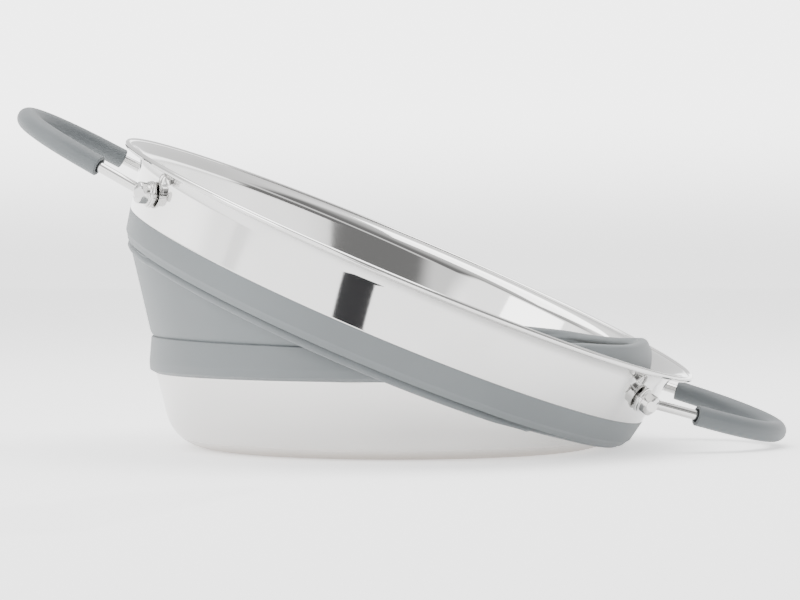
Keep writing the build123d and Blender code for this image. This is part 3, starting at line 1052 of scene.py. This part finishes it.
# Camera as fitted to the photo: place in millimetres, degrees down and right, focal length in pixels.
CAMERA_AT, CAMERA_DOWN, CAMERA_RIGHT = (-4.8, -1186, 84.2), 0.84, 0.29
FOCAL_PIXELS, PHOTO_PIXELS, SENSOR = 2585.2, 800, 36.0


def studio_world():
    """White wall behind the pot, a dim room in front and a bright screen to the left for the steel."""
    world = bpy.data.worlds.new("studio")
    bpy.context.scene.world = world
    world.use_nodes = True
    nodes = Nodes(world.node_tree)
    way = nodes.make("ShaderNodeTexCoord", output="Generated")
    split = nodes.put("ShaderNodeSeparateXYZ", inputs={0: way})
    x, y, z = (Value(nodes, split.outputs[index]) for index in range(3))
    back = nodes.band(y, *WALL_FROM)
    front = 1 - back
    screen = (1 - nodes.band(z, *SCREEN_TOP)) * (SCREEN + nodes.band(z, *GLOW_FROM) * GLOW)
    aside = (x.math("ARCTAN2", y * -1) - SIDE_AT).math("ABSOLUTE")
    side = (1 - nodes.band(aside, *SIDE_EDGE)) * nodes.band(z, *SIDE_FOOT) * (1 - nodes.band(z, *SIDE_TOP))
    streak = nodes.band(z, *STREAK_FOOT) * (1 - nodes.band(z, *STREAK_TOP))
    level = ROOM + back * (WALL + screen) + nodes.band(z, *CEILING_FROM) * CEILING
    level = level + front * (side * SIDE + streak * STREAK)
    shade = nodes.make("ShaderNodeCombineColor", inputs={0: level, 1: level, 2: level})
    sky = nodes.put("ShaderNodeBackground", inputs={"Color": shade, "Strength": 1.0})
    nodes.tree.links.new(sky.outputs[0], nodes.put("ShaderNodeOutputWorld").inputs["Surface"])


def softbox(name, spot, spread, power):
    """Rectangular area light that faces the pot."""
    light = bpy.data.lights.new(name, "AREA")
    light.shape = "RECTANGLE"
    light.size, light.size_y = spread
    light.energy = power
    lamp = linked(name, light)
    lamp.location = spot
    lamp.rotation_euler = (Vector(SOFTBOX_AIM) - Vector(spot)).to_track_quat("-Z", "Y").to_euler()


def flat_sheet(name, corners, cover):
    """Four-cornered sheet for the stage."""
    mesh = bpy.data.meshes.new(name)
    mesh.from_pydata(corners, [], [(0, 1, 2, 3)])
    mesh.materials.append(cover)
    sheet = linked(name, mesh)
    return sheet


class POT_OT_stage(bpy.types.Operator):
    """Set the camera, the pale floor and the soft studio light"""

    bl_idname = "pot.stage"
    bl_label = "Studio"

    def execute(self, context):
        studio_world()
        paper, nodes = material_nodes("floor_paper")
        place = nodes.make("ShaderNodeTexCoord", output="Object")
        fibre = nodes.noise(place, 3.0)
        tint = nodes.mix(fibre * 0.2, rgba(finish().floor), (0.9, 0.9, 0.9, 1.0))
        end_with(nodes, nodes.put("ShaderNodeBsdfPrincipled", inputs={
            "Base Color": tint, "Roughness": 0.8,
            "Emission Color": (1.0, 1.0, 1.0, 1.0), "Emission Strength": FLOOR_LIGHT}))
        square = ((-1, -1), (1, -1), (1, 1), (-1, 1))
        flat_sheet("studio_floor", [(x * FLOOR_HALF, y * FLOOR_HALF, -FLOOR_DROP) for x, y in square], paper)

        charcoal, nodes = material_nodes("charcoal_card")
        end_with(nodes, nodes.put("ShaderNodeBsdfPrincipled", inputs={
            "Base Color": CHARCOAL, "Roughness": 0.9, "Specular IOR Level": 0.0}))
        card = flat_sheet("charcoal_card", [(x * MM, y * MM, CARD_RISE) for x, y in CARD_CORNERS], charcoal)
        card.visible_camera = card.visible_diffuse = card.visible_shadow = False

        for settings in SOFTBOXES:
            softbox(*settings)

        camera = bpy.data.cameras.new("photo_camera")
        camera.sensor_fit, camera.sensor_width = "HORIZONTAL", SENSOR
        camera.lens = SENSOR * FOCAL_PIXELS / PHOTO_PIXELS
        lens = linked("photo_camera", camera)
        lens.location = [part * MM for part in CAMERA_AT]
        lens.rotation_euler = (math.radians(90 - CAMERA_DOWN), 0, math.radians(-CAMERA_RIGHT))
        context.scene.camera = lens
        return {"FINISHED"}


class POT_PT_panel(bpy.types.Panel):
    """Buttons and sizes of the pot"""

    bl_label = "Collapsible Pot"
    bl_idname = "POT_PT_panel"
    bl_space_type = "VIEW_3D"
    bl_region_type = "UI"
    bl_category = "Pot"

    def draw(self, context):
        for operator in OPERATORS:
            self.layout.operator(operator.bl_idname)
        for group in (context.scene.pot_sizes, context.scene.pot_finish):
            box = self.layout.box()
            for name in group.bl_rna.properties.keys():
                if name not in ("rna_type", "name"):
                    box.prop(group, name)


OPERATORS = (POT_OT_base, POT_OT_wall, POT_OT_rim, POT_OT_lugs, POT_OT_handles, POT_OT_stage)
CLASSES = (PotSizes, PotFinish, *OPERATORS, POT_PT_panel)


def register():
    for item in CLASSES:
        bpy.utils.register_class(item)
    bpy.types.Scene.pot_sizes = PointerProperty(type=PotSizes)
    bpy.types.Scene.pot_finish = PointerProperty(type=PotFinish)


def unregister():
    del bpy.types.Scene.pot_finish
    del bpy.types.Scene.pot_sizes
    for item in reversed(CLASSES):
        bpy.utils.unregister_class(item)


def main():
    register()
    bpy.ops.pot.base()
    bpy.ops.pot.wall()
    bpy.ops.pot.rim()
    bpy.ops.pot.lugs()
    bpy.ops.pot.handles()
    bpy.ops.pot.stage()


if __name__ == "__main__":
    main()
